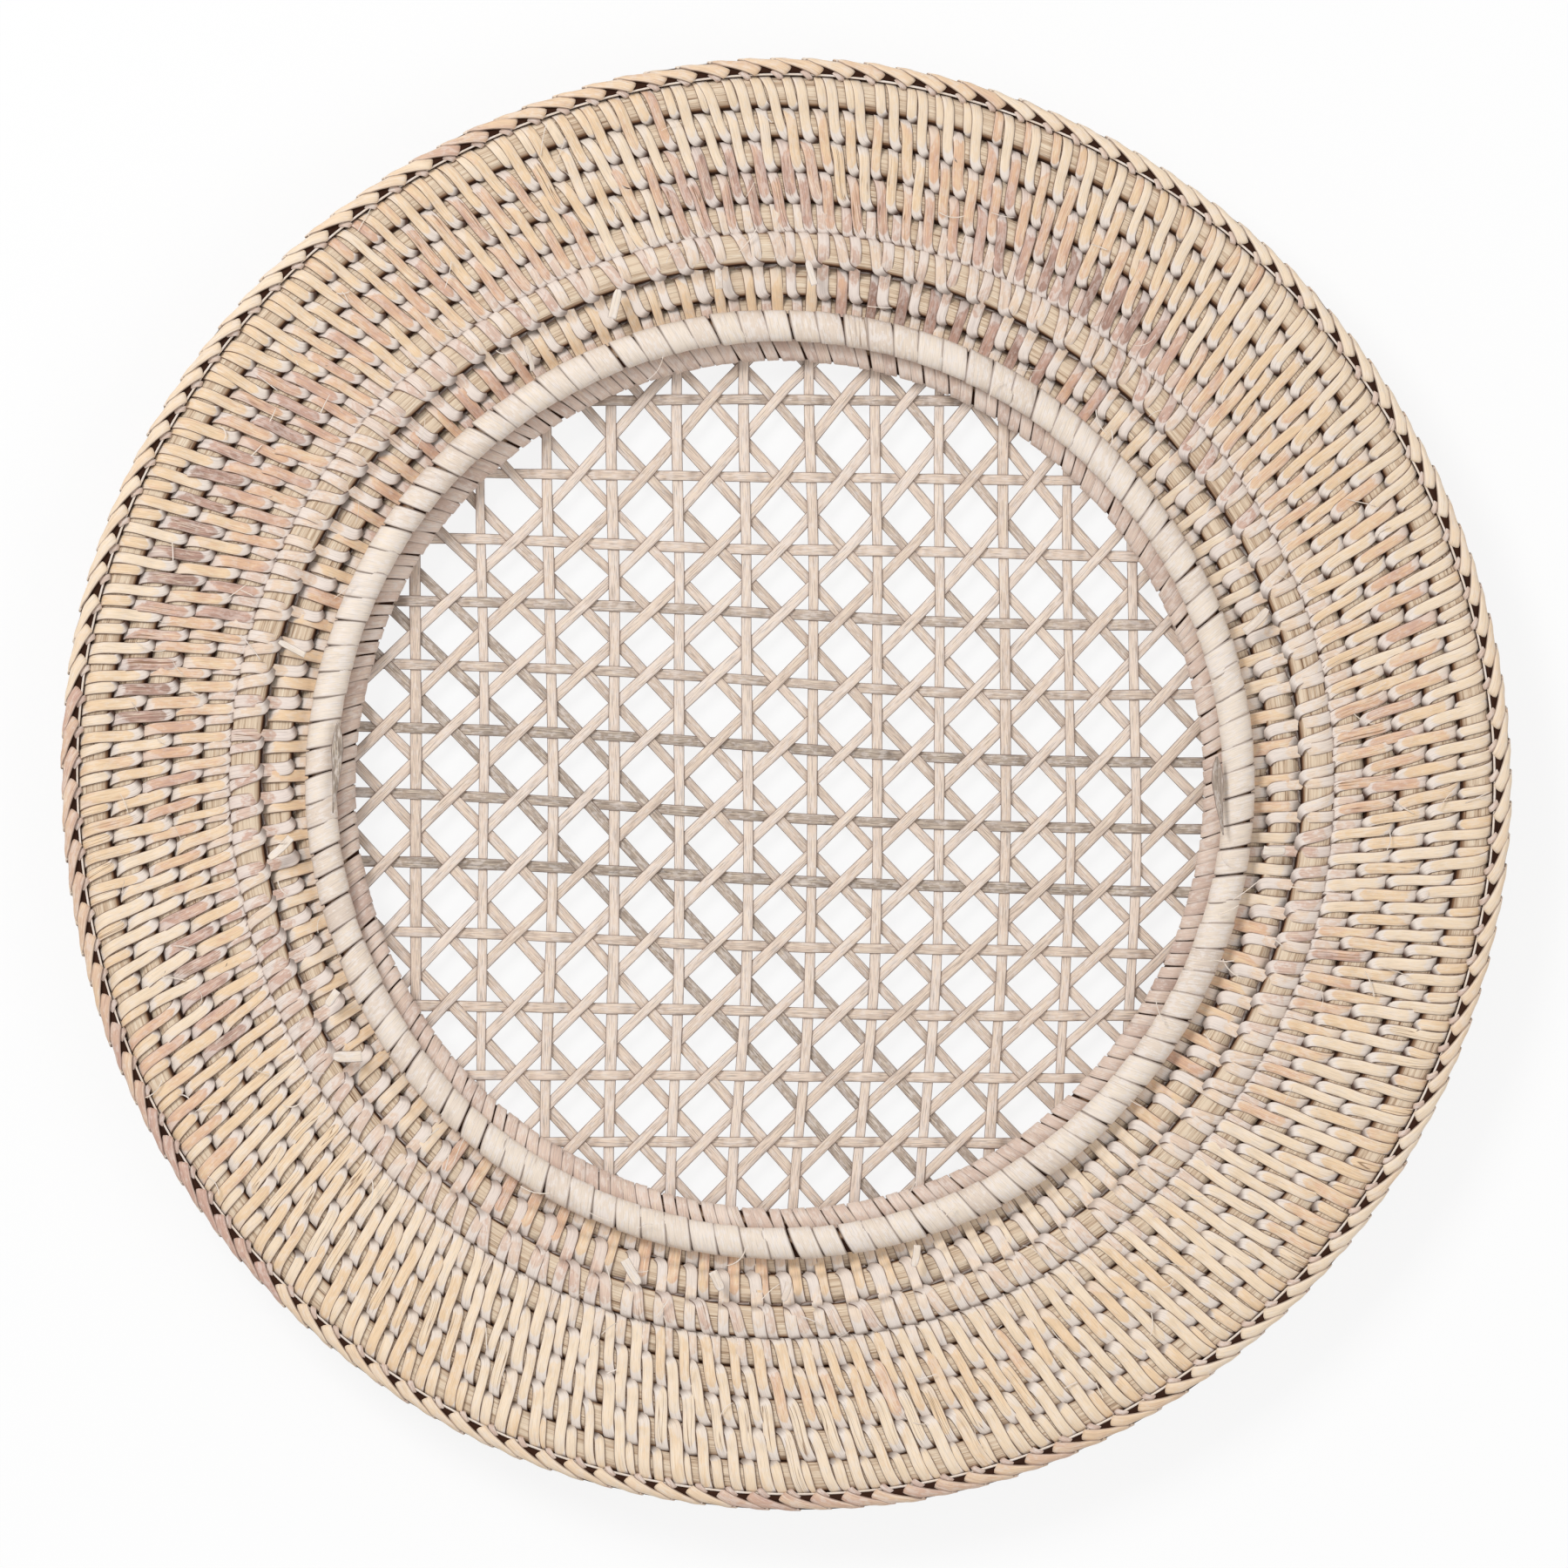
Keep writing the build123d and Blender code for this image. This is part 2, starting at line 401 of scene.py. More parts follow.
def cane(name, palette, wash=WASH, reach=(0.0, 1.2), film=0.3, crack_share=0.0, lines=0.5, rim=0.6):
    """Split cane under a rubbed wash: fibres along it, cracks in some, and whitened ends.

    palette runs from the darkest strips to the palest. reach gives the shares of the length
    between which the cane is left bare, film how strong the thin wash over it is, crack_share
    how many strips are cracked, lines how dark the fibres are and rim how dark the painted shadow along the
    long edges is.
    """
    s = Shader(name)
    grain = s.attribute("grain").outputs["Vector"]
    wear_and_painted_shade = s.attribute("wear_and_painted_shade")
    parts = s.node("ShaderNodeSeparateColor", None, Color=wear_and_painted_shade.outputs["Color"])
    tone, share, across = parts.outputs[0], parts.outputs[1], parts.outputs[2]
    kind = wear_and_painted_shade.outputs["Alpha"]

    fibre = s.noise(s.scaled(grain, (2.6, 0.10, 1.0)), 3.0, 0.6)
    hair = s.noise(s.scaled(grain, (7.0, 0.22, 1.0)), 2.0, 0.6)
    blotch = s.noise(s.scaled(grain, (0.45, 0.16, 1.0)), 2.0)
    ragged = s.noise(s.scaled(grain, (1.1, 0.5, 1.0)), 4.0, 0.6)
    chance = s.noise(s.scaled(grain, (0.0, 0.0, 1.7)), 0.0)
    off_centre = s.math("ABSOLUTE", s.math("SUBTRACT", across, 0.5))

    shade = s.math("ADD", tone, s.math("MULTIPLY", s.math("SUBTRACT", blotch, 0.5), 0.4))
    shade = s.math("ADD", shade, s.math("MULTIPLY", s.math("SUBTRACT", fibre, 0.5), 0.3))
    stops = [(i / (len(palette) - 1), srgb(*colour)) for i, colour in enumerate(palette)]
    colour = s.ramp(shade, stops)
    streaked = s.math("MULTIPLY", s.remap(hair, 0.52, 0.66), s.remap(kind, 0.35, 0.5, 0.12, 0.6))
    colour = s.mix(streaked, colour, srgb(*STREAK))

    shift = s.math("MULTIPLY", s.math("SUBTRACT", ragged, 0.5), 0.2)
    shift = s.math("ADD", shift, s.math("MULTIPLY", s.math("SUBTRACT", chance, 0.5), 0.3))
    aslant = s.math("MULTIPLY", s.math("SUBTRACT", across, 0.5), s.remap(chance, 0.35, 0.65, -0.25, 0.25))
    start = s.math("ADD", s.math("ADD", share, shift), aslant)
    start = s.remap(start, reach[0] - 0.025, reach[0] + 0.025, 1.0, 0.0)
    start = s.math("MULTIPLY", start, s.remap(chance, 0.3, 0.6, 0.5, 1.0))
    cupped = s.math("MULTIPLY", s.math("MULTIPLY", off_centre, off_centre), 0.4)
    end = s.math("ADD", s.math("SUBTRACT", share, s.math("MULTIPLY", shift, 0.4)), cupped)
    end = s.remap(end, reach[1] - 0.02, reach[1] + 0.02)
    thin = s.remap(s.math("ADD", ragged, s.math("MULTIPLY", chance, 0.25)), 0.6, 0.74, 0.0, film)
    # A pale band inside the long edges: partly wash caught on the edges, partly a painted highlight.
    edges = s.remap(off_centre, 0.36, 0.43, 0.0, 0.3)
    wash_and_edge_highlight = s.math("MAXIMUM", s.math("MULTIPLY", s.math("MAXIMUM", start, end), 0.82), thin)
    wash_and_edge_highlight = s.math("MAXIMUM", wash_and_edge_highlight, edges)
    colour = s.mix(wash_and_edge_highlight, colour, srgb(*wash))

    dark = s.remap(hair, 0.34, 0.5, 1.0 - lines * 0.3, 1.0)
    colour = s.mix(1.0, colour, s.ramp(dark, [(0.0, (0, 0, 0, 1)), (1.0, (1, 1, 1, 1))]), "MULTIPLY")
    long_wave = s.noise(s.scaled(grain, (1.0, 0.03, 1.0)), 1.0, 0.3)
    seam = s.remap(s.math("ABSOLUTE", s.math("SUBTRACT", long_wave, 0.5)), 0.003, 0.02, 0.8, 0.0)
    chosen = s.remap(kind, 1.0 - crack_share, 1.0 - crack_share + 0.04)
    middle = s.remap(s.math("ABSOLUTE", s.math("SUBTRACT", share, 0.52)), 0.38, 0.30)
    inside = s.remap(off_centre, 0.36, 0.28)
    crack = s.math("MULTIPLY", s.math("MULTIPLY", seam, chosen), s.math("MULTIPLY", middle, inside))
    colour = s.mix(crack, colour, srgb(*CRACK_BROWN))
    # Painted shadow: a dark brown line along both long edges of each strip.
    painted_edge_shadow = s.remap(off_centre, 0.42, 0.475, 0.0, rim)
    colour = s.mix(painted_edge_shadow, colour, srgb(*EDGE_SHADOW_BROWN))
    colour = s.mix(s.attribute("shadow").outputs["Fac"], colour, srgb(*SHADE_BROWN))
    speck = s.remap(s.noise(s.scaled(grain, (1.7, 0.9, 1.0)), 4.0, 0.7), 0.70, 0.76, 0.0, 0.5)
    colour = s.mix(speck, colour, srgb(*SPECK_BROWN))
    s.link(colour, "Base Color")

    s.link(s.remap(wash_and_edge_highlight, 0.0, 1.0, 0.5, 0.8), "Roughness")
    relief = s.math("ADD", s.math("MULTIPLY", fibre, 0.7), s.math("MULTIPLY", hair, 0.5))
    relief = s.math("SUBTRACT", relief, s.math("MULTIPLY", crack, 1.5))
    bumped = s.node("ShaderNodeBump", None, Strength=0.5, Distance=0.2 * MM, Height=relief)
    s.link(bumped.outputs["Normal"], "Normal")
    s.surface.inputs["Specular IOR Level"].default_value = 0.3
    return s.material


def core(name, pale, dark):
    """A rod's bundle of fine fibres, seen between the strips, with painted shade in brown low on its
    flanks.
    """
    s = Shader(name)
    grain = s.attribute("grain").outputs["Vector"]
    parts = s.node("ShaderNodeSeparateColor", None, Color=s.attribute("wear_and_painted_shade").outputs["Color"])
    fibre = s.noise(s.scaled(grain, (2.4, 0.05, 1.0)), 4.0, 0.65)
    bundle = s.noise(s.scaled(grain, (0.9, 0.02, 1.0)), 2.0)
    both = s.math("ADD", s.math("MULTIPLY", fibre, 0.7), s.math("MULTIPLY", bundle, 0.4))
    colour = s.ramp(both, [(0.36, srgb(*dark)), (0.46, srgb(*FIBRE_MIDDLE)), (0.6, srgb(*pale))])
    streak = s.remap(s.noise(s.scaled(grain, (5.0, 0.12, 1.0)), 2.0, 0.6), 0.55, 0.7, 0.0, 0.7)
    colour = s.mix(streak, colour, srgb(*FIBRE_STREAK))
    # Painted shade: the second channel darkens the fibres to brown low on the rod's flanks, where the rod
    # meets the next.
    shaded = [(0.54, (0.05, 0.02, 0.01, 1)), (0.69, (0.37, 0.25, 0.18, 1)), (0.96, (1, 1, 1, 1))]
    colour = s.mix(1.0, colour, s.ramp(parts.outputs[1], shaded), "MULTIPLY")
    s.link(colour, "Base Color")
    s.surface.inputs["Roughness"].default_value = 0.8
    bumped = s.node("ShaderNodeBump", None, Strength=0.8, Distance=0.4 * MM, Height=fibre)
    s.link(bumped.outputs["Normal"], "Normal")
    s.surface.inputs["Specular IOR Level"].default_value = 0.2
    return s.material


binding_cane = cane(
    "binding_cane",
    (DUSK, PINK, TAN, GOLD, GOLD, CREAM, CREAM, (240, 216, 186)),
    reach=(0.2, 0.83),
    crack_share=0.12,
    rim=0.85,
)
pale_cane = cane(
    "pale_cane",
    (PINK, (228, 202, 184), (236, 210, 184), PALE),
    reach=(0.3, 0.75),
    film=0.6,
    crack_share=0.05,
    rim=0.75,
)
edge_cane = cane("edge_cane", (PINK, (236, 204, 170), CREAM, CREAM), film=0.35)
well_cane = cane(
    "well_cane",
    ((218, 200, 186), (232, 215, 199), (239, 224, 208), (243, 230, 218)),
    wash=(242, 232, 225),
    film=0.7,
    crack_share=0.03,
    rim=0.5,
)
ring_cane = cane(
    "ring_cane",
    ((206, 178, 164), (220, 194, 178), (230, 206, 190), (238, 218, 204)),
    film=0.5,
    crack_share=0.04,
    rim=0.35,
)
mesh_cane = cane(
    "mesh_cane",
    ((158, 142, 128), (204, 184, 168), (230, 208, 190), (240, 222, 208)),
    wash=(240, 230, 224),
    film=0.4,
    lines=1.3,
    rim=0.75,
)
core_fibre = core("core_fibre", pale=(234, 213, 187), dark=(112, 80, 56))


# ---------------------------------------------------------------- rods
def seen_outside(angle):
    """1 where the basket shows the rods' outer flanks, as at the bottom, and 0 where the inner ones."""
    return np.clip(0.5 - 1.9 * (np.sin(angle) + 0.72), 0, 1)


def rod_section(ring, turn, inset, outside=0.0):
    """Radius and height on a rod's section, at an angle up from its outer side.

    The flank that shows is full and reaches over the next row, and the other one slopes gently.
    """
    cosine, sine = np.cos(turn), np.sin(turn)
    full = np.where(cosine < 0, 1 - outside, outside)
    radius = ring.radius + ring.half_width * (1 + OVERHANG * full) * cosine
    crown = ring.half_height - inset
    return radius, ring.middle + crown * np.sign(sine) * np.abs(sine) ** (1.2 - 0.4 * full)


def rod(name, ring, inset, node, painted_light=1.15, material=None, turns=480, corners=24):
    """A ring of bundled fibres that takes the place of a node, with painted shade where it meets the next.

    inset is how far the crown lies below the ring's own. The flanks carry painted light and painted shade,
    and the argument after node sets how much of them is painted light.
    """
    angle = np.linspace(0, tau, turns + 1)[:, None]
    round_ = np.linspace(0, tau, corners, endpoint=False)[None]
    swell = 1 + 0.02 * np.sin(angle * 23 + round_ * 2) + 0.015 * np.sin(angle * 57 + round_ * 5)
    outside = seen_outside(angle)
    radius, height = rod_section(ring, round_, inset, outside)
    radius = ring.radius + (radius - ring.radius) * swell
    height = ring.middle + (height - ring.middle) * swell
    points = np.stack([radius * np.cos(angle), radius * np.sin(angle), height], axis=-1)
    first = np.arange(turns)[:, None] * corners
    here = np.arange(corners)[None]
    after = (here + 1) % corners
    quads = np.stack([first + here, first + corners + here, first + corners + after, first + after], -1)
    grain = np.stack(
        np.broadcast_arrays(
            round_ * ring.half_width / MM, angle * ring.radius / MM, np.full((1, 1), ring.radius * 977)
        ),
        axis=-1,
    )
    # Painted shade: the flanks grow dark towards the sides, where the rod meets the next, over more of the
    # full flank that shows than of the gentle one.
    flank = 1 + 0.7 * np.where(np.cos(round_) > 0, 1 - outside, outside)
    painted_light_share = np.clip(np.abs(np.sin(round_)) * flank * painted_light, 0, 1)
    wear_and_painted_shade = np.stack(np.broadcast_arrays(0.5, painted_light_share, 0.5, angle * 0), axis=-1)
    piece = make_mesh(
        name,
        points.reshape(-1, 3),
        quads.reshape(-1, 4),
        grain.reshape(-1, 3),
        wear_and_painted_shade.reshape(-1, 4),
        0.0,
        material or core_fibre,
    )
    if node:
        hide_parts(node)


# Each row's rod carries painted light and painted shade on its flanks, and the welt and the wall rows are
# painted lighter.
for number, ring in enumerate(rows, start=1):
    painted_light = 1.08 if number < WELT_ROW - 1 else 1.35
    rod(f"core_row_{number}", ring, CORE_INSET, f"coil_row_{number}", painted_light=painted_light)
# The cores under the wraps are painted in more shade than the rows, for the gaps between the wraps.
rod("well_ring_core", well_ring.within(WRAP_DEPTH), 0, "well_ring", 0.5)
rod("mesh_ring_core", mesh_ring.within(WRAP_DEPTH), 0, "mesh_ring", painted_light=0.5)
rod("foot_ring_core", foot_ring.within(WRAP_DEPTH), 0, "foot_ring", painted_light=0.5)
# The edge's core is painted almost all in shade, so that the holes of the plait show dark.
rod("edge_core", edge_ring, 1.3 * MM, "plaited_edge", painted_light=0.25)


# ---------------------------------------------------------------- stitches
# Places of a stitch round a rod's section, in degrees up from the outer side.
RISING_TURNS = (14, 27, 41, 60, 80)
SADDLE_TURNS = (108, 72)  # where it leaves the outer rod and meets the inner one
SINKING_TURNS = (100, 121, 139, 153, 166)


def over_rows(outer, inner, side, outside):
    """Path of a stitch in radius and height, over (side 1) or under (side -1) one or two rows."""

    def on_rod(ring, turn):
        radius, height = rod_section(ring, radians(turn), CORE_INSET, outside)
        return float(radius), float(ring.middle + side * (height - ring.middle))

    points = [on_rod(outer, turn) for turn in RISING_TURNS]
    if inner is not outer:
        first, second = on_rod(outer, SADDLE_TURNS[0]), on_rod(inner, SADDLE_TURNS[1])
        points += [first, ((first[0] + second[0]) / 2, (first[1] + second[1]) / 2), second]
    return points + [on_rod(inner, turn) for turn in SINKING_TURNS]


def flank_shadow(depth, share, outward, strength):
    """How dark a stitch is, from 0 to 1, where it goes down the rods' flanks.

    depth is 0 on the crown and 1 at the rod's middle, and outward is what seen_outside gives.
    """
    full = np.where(share < 0.5, outward, 1 - outward)
    gentle = np.clip((depth - 0.58 + 0.25 * outward) / (0.12 + 0.25 * outward), 0, 1)
    shadow = full * np.interp(depth, (0.34, 0.45, 0.54), (0, 0.5, 1)) + 0.7 * (1 - full) * gentle
    return shadow * strength


def stitch_row(
    name, outer, inner, count, phase, lean, row, wide, first_share=0.0, twist=0.0, material=binding_cane
):
    """Strips bound over one or two rows, and back under them to the next stitch.

    phase is where the first stitch is, in pitches, and row tells the rows' tones apart. Each
    stitch follows a path for the inner flanks in view, one for the outer, or one between.
    """
    angle = (np.arange(count) + phase + random.normal(0, 0.05, count)) * tau / count
    tones, kinds = runs_of_stitches(angle, row)
    stations = 26 if inner is not outer else 18
    middle = (outer.radius + inner.radius) / 2
    pitch = tau * middle / count
    reach = outer.radius + outer.half_width - inner.radius + inner.half_width
    share = np.linspace(0, 1, stations)[None]
    ending = np.clip((share - STITCH_END) / (1 - STITCH_END), 0, 1)
    narrowed = 1 - 0.08 * np.maximum(np.sin(angle), 0)
    own_width = wide * narrowed[:, None] * random.normal(1, 0.07, (count, 1))
    taper = 1 - 0.2 * ending**2
    for side, word in ((1, "over"), (-1, "under")):
        inside, outside = (smooth_path(over_rows(outer, inner, side, flank), stations) for flank in (0, 1))
        path = inside + (outside - inside) * seen_outside(angle)[:, None, None]
        radius = path[..., 0] + random.normal(0, 0.08 * MM, (count, 1))
        height = path[..., 1] + side * random.normal(0.05, 0.04, (count, 1)) * MM
        lean_here = tan(radians(lean)) * reach
        slope = lean_here if side == 1 else lean_here - pitch
        own = random.normal(1, 0.2, (count, 1))
        keep_edge = own_width * (1 - taper) / 2 + STITCH_HOOK * ending**1.6
        slide = slope * own * (0.5 - share) - side * keep_edge
        turn = angle[:, None] + slide / middle
        depth = np.where(share < 0.5, outer.middle, inner.middle) - path[..., 1]
        depth = 1 + side * depth / (outer.half_height - CORE_INSET)
        strength = 0.95 if row < WELT_ROW - 1 else 0.5
        shadow = flank_shadow(depth, share, seen_outside(angle)[:, None], strength)
        flow = np.gradient(path, axis=1)
        up = -side * flow[..., 0]
        centre, normal = round_the_axis(turn, radius, height, side * flow[..., 1], up)
        roll = RAISED_EDGE * random.normal(1, 0.3, (count, 1)) - twist * (share - 0.4)
        clockwise = np.stack([np.sin(turn), -np.cos(turn), turn * 0], -1)
        normal = unit(normal) + roll[..., None] * clockwise
        lay_strips(
            f"{name}_{word}",
            centre,
            normal,
            own_width * taper,
            STRIP_THICKNESS,
            tones,
            material,
            kinds,
            first_share,
            turned=seen_outside(angle) > 0.5,
            shadow=shadow,
        )


def drifted(row, count):
    """Where a row's stitches start, in pitches: between their neighbours', and on clockwise.

    A stitch starts where the stitch two rows further out ended.
    """
    pitch = tau * rows[row].radius / count
    return 0.5 * (row % 2) - row * DRIFT_PER_ROW / pitch


def bind_rows():
    """All the stitches, from the brim in to the well."""
    brim = rows[0]
    short_width = STRIP_WIDTH * SHORT_SHARE
    stitch_row("short_stitches", brim, brim, BRIM_STITCHES, -0.2, SHORT_LEAN, 0, short_width, 0.14)
    for row in range(1, WELT_ROW - 1):
        outer, inner = rows[row - 1], rows[row]
        wide = STRIP_WIDTH * (outer.radius / brim.radius) ** 0.4
        started = 0.13 if row == 1 else 0.0
        phase = drifted(row, BRIM_STITCHES)
        stitch_row(f"stitches_row_{row}", outer, inner, BRIM_STITCHES, phase, BRIM_LEAN, row, wide, started)

    last, welt = rows[WELT_ROW - 2], rows[WELT_ROW - 1]
    row = WELT_ROW - 1
    phase = drifted(row, BRIM_STITCHES)
    stitch_row(
        f"stitches_row_{row}", last, last, BRIM_STITCHES, phase, LAST_LEAN, row, short_width,
        material=pale_cane,
    )
    phase = drifted(WELT_ROW, WALL_STITCHES) + 0.4
    wide = WALL_STRIP_WIDTH
    stitch_row(
        "welt_stitches", welt, welt, WALL_STITCHES, phase, WELT_LEAN, WELT_TONES, wide, 0.1, 0.5, pale_cane
    )
    for row in range(WELT_ROW, ROW_COUNT + 1):
        outer, inner = rows[row - 1], rows[min(row, ROW_COUNT - 1)]
        started = 0.12 if row == WELT_ROW else 0.0
        phase = drifted(min(row, ROW_COUNT - 1), WALL_STITCHES) + 0.5 * (row == ROW_COUNT)
        finish = binding_cane if row == WELT_ROW + 1 else pale_cane
        stitch_row(
            f"stitches_row_{row}", outer, inner, WALL_STITCHES, phase, WALL_LEAN, row, wide, started,
            material=finish,
        )


bind_rows()


# ---------------------------------------------------------------- wrapped rings
def wrapped_ring(name, ring, count, width, lean, material, gap_share, raised, squareness=1.0):
    """Strips wound round a ring, each a turn of its own that starts and ends out of sight.

    gap_share of the strips are narrow, so that a gap shows beside them. raised is how much a
    strip is turned about its length, and squareness under 1 makes the section fuller.
    """
    angle = (np.arange(count) + random.normal(0, 0.04, count)) * tau / count
    start = radians(-150)
    sweep = np.linspace(0, 1, 30)
    round_ = start + sweep * tau * 1.02
    reach_cos = np.sign(np.cos(round_)) * np.abs(np.cos(round_)) ** squareness
    reach_sin = np.sign(np.sin(round_)) * np.abs(np.sin(round_)) ** squareness
    inner_width = ring.half_width - CORE_INSET
    inner_height = ring.half_height - CORE_INSET
    lap = 0.12 * MM * (sweep - 0.5)
    radius = ring.radius + (inner_width + lap) * reach_cos
    height = ring.middle + (inner_height + lap) * reach_sin
    drop = random.normal(0, 0.06, (count, 1)) * MM
    radius = radius[None] + drop * reach_cos[None]
    height = height[None] + drop * reach_sin[None]
    top = ring.half_width * 2 * tan(radians(lean))
    slide = -top * 0.5 * np.cos(round_)[None] * random.normal(1, 0.1, (count, 1))
    turn = angle[:, None] - slide / ring.radius
    centre, normal = round_the_axis(turn, radius, height, reach_cos[None], reach_sin[None])
    clockwise = np.stack([np.sin(turn), -np.cos(turn), turn * 0], -1)
    roll = raised * random.normal(1, 0.5, (count, 1)) * np.sign(reach_sin)[None]
    normal = unit(normal) + roll[..., None] * clockwise
    tone = np.clip(0.4 * shade_field(angle, 11) + random.uniform(0, 0.6, count), 0, 1)
    narrow = 1 - 0.12 * (random.uniform(0, 1, (count, 1)) < gap_share)
    own = width * narrow * random.normal(1, 0.03, (count, 1))
    lay_strips(name, centre, normal, own, STRIP_THICKNESS * 0.8, tone, material)


WELL_WRAP_WIDTH = 6.35 * MM
MESH_WRAP_WIDTH = 3.12 * MM
wrapped_ring(
    "well_ring_wraps", well_ring, WELL_WRAPS, WELL_WRAP_WIDTH, 17, well_cane, 0.14, 0.045
)
for word, ring, squareness in (("mesh", mesh_ring, 1.0), ("foot", foot_ring, 0.6)):
    wrapped_ring(
        f"{word}_ring_wraps",
        ring,
        MESH_WRAPS,
        MESH_WRAP_WIDTH,
        24,
        ring_cane,
        0.3,
        0.08,
        squareness,
    )


# ---------------------------------------------------------------- loose ends
def surface_height(radius):
    """Height of the rods' crowns at a distance from the axis."""
    heights = []
    for ring in (*rows, well_ring, mesh_ring):
        off = (radius - ring.radius) / ring.half_width
        heights.append(ring.middle + ring.half_height * np.sqrt(np.clip(1 - off**2, 0, 1)))
    return np.max(heights, axis=0)


def loose_strips(
    name, angle, radius, heading, length, width, thickness, arch, curl, material, tone, pointed=False
):
    """Short lengths of cane that lie on the basket with both ends free.

    heading is turned from outward, clockwise, and curl is how far it turns along the length.
    arch is how far the free end stands up.
    """
    count, stations = len(angle), 14
    share = np.linspace(0, 1, stations)
    turn = (angle - heading)[:, None] - curl[:, None] * share
    step = (length / (stations - 1))[:, None]
    x = (radius * np.cos(angle))[:, None] + np.cumsum(step * np.cos(turn), axis=1)
    y = (radius * np.sin(angle))[:, None] + np.cumsum(step * np.sin(turn), axis=1)
    ground = surface_height(np.hypot(x, y))
    ground = np.maximum(ground, ground.max(axis=1, keepdims=True) - 1.2 * MM)
    lift = STRIP_THICKNESS + arch[:, None] * (0.25 + share**2)
    centre = np.stack([x, y, ground + lift], axis=-1)
    tilt = random.normal(0, 0.25, (count, 1, 2)) * np.ones((count, stations, 1))
    normal = unit(np.concatenate([tilt, np.ones((count, stations, 1))], axis=-1))
    taper = 1 - 0.45 * np.clip((share - 0.75) / 0.25, 0, 1) ** 2
    if pointed:
        taper = np.interp(share, (0, 0.12, 0.3, 1), (0.15, 0.7, 1, 0.1))
    lay_strips(name, centre, normal, width[:, None] * taper, thickness, tone, material)


def tuck_ends():
    """Ends of strips tucked in beside the well ring, six of them where they catch the eye."""
    count = 14
    noticed = radians(1) * np.array([97, 86, 110, 121, 262, 271])
    angle = np.concatenate([noticed, random.uniform(0, tau, count - len(noticed))])
    radius = well_ring.outer + random.uniform(0.2, 6, count) * MM
    heading = random.uniform(-1.2, 1.2, count)
    length = random.uniform(4, 8, count) * MM
    width = random.uniform(1.4, 2.8, count) * MM
    arch = random.uniform(-0.2, 0.3, count) * MM
    curl = random.normal(0, 0.3, count)
    tone = random.uniform(0.2, 1, count)
    thickness = 0.22 * MM
    loose_strips(
        "tucked_ends", angle, radius, heading, length, width, thickness, arch, curl, well_cane, tone
    )


def scatter_fibres():
    """Hairs that stand off the cane."""
    count = 150
    angle = random.uniform(0, tau, count)
    share = random.uniform(0, 1, count) ** 0.7
    radius = mesh_ring.inner + share * (edge_ring.inner - 2 * MM - mesh_ring.inner)
    heading = random.uniform(-pi, pi, count)
    length = random.uniform(2.5, 8, count) * MM
    width = random.uniform(0.12, 0.32, count) * MM
    arch = random.uniform(0.1, 1.5, count) * MM
    curl = random.normal(0, 0.8, count)
    tone = random.uniform(0.4, 1, count)
    thickness = 0.12 * MM
    loose_strips(
        "stray_fibres", angle, radius, heading, length, width, thickness, arch, curl, well_cane, tone
    )


def split_wraps():
    """The two grey splinters that stand off the inner side of the well ring, left and right."""
    angle = radians(1) * np.array([171.0, 4.5])
    radius = np.array([well_ring.inner + 0.9 * MM, well_ring.inner - 1.2 * MM])
    heading = angle + pi / 2
    length = np.array([22, 19]) * MM
    width = np.array([3.0, 3.2]) * MM
    thickness = 0.3 * MM
    arch = np.array([0.9, 0.9]) * MM
    curl = np.array([0.1, -0.15])
    tone = np.array([-0.05, 0.1])
    loose_strips(
        "split_wraps", angle, radius, heading, length, width, thickness, arch, curl, mesh_cane, tone, True
    )


tuck_ends()
scatter_fibres()
split_wraps()


# ---------------------------------------------------------------- plaited edge
def edge_strips(name, inner_edge, outer_edge, tone, side, stations, material, thickness, bulge):
    """Strips of the edge, one to each pitch, between the paths of their two long edges.

    A path's points are along the rim clockwise, outward from the first row and down from the
    top, in mm. side is -1 for the strips underneath.
    """
    count = BRIM_STITCHES
    angle = (np.arange(count)[:, None] + random.normal(0, 0.02, (count, 1))) * tau / count
    out_shift = random.normal(0, 0.08, (count, 1))
    down_shift = random.normal(0, 0.05, (count, 1))
    sides = []
    for path in (inner_edge, outer_edge):
        line = smooth_path(path, stations)
        turn = angle - line[None, :, 0] * MM / rows[0].outer
        radius = rows[0].outer + (line[None, :, 1] + out_shift) * MM
        depth = edge_ring.half_height - (line[None, :, 2] + down_shift) * MM
        height = edge_ring.middle + side * depth
        sides.append(np.stack([radius * np.cos(turn), radius * np.sin(turn), height], -1))
    inner, outer = sides
    centre = (inner + outer) / 2
    crosswise = (inner - outer) * side
    width = np.linalg.norm(crosswise, axis=-1)
    normal = np.broadcast_to([0.0, 0.0, float(side)], centre.shape)
    lay_strips(
        name,
        centre,
        normal,
        width,
        thickness,
        tone,
        material,
        side=unit(crosswise),
        bulge=bulge * MM,
    )


# The leaf's long edges, from where it comes over the rim to its folded tip and down.
LEAF_INNER = (
    (-11.2, 3.75, 2.4), (-9.4, 3.35, 1.15), (-7.6, 2.65, 0.95), (-5.6, 2.1, 0.8),
    (-2.9, 1.15, 0.75), (-0.7, 0.2, 1.0), (-0.5, 0.2, 1.9), (-0.4, 0.5, 3.0),
)
LEAF_OUTER = (
    (-10.2, 3.6, 4.4), (-8.2, 3.75, 3.1), (-6.2, 3.75, 2.3), (-4.4, 3.7, 1.9),
    (-1.6, 3.55, 1.6), (1.2, 2.35, 1.4), (1.4, 2.1, 2.1), (1.3, 2.0, 3.2),
)
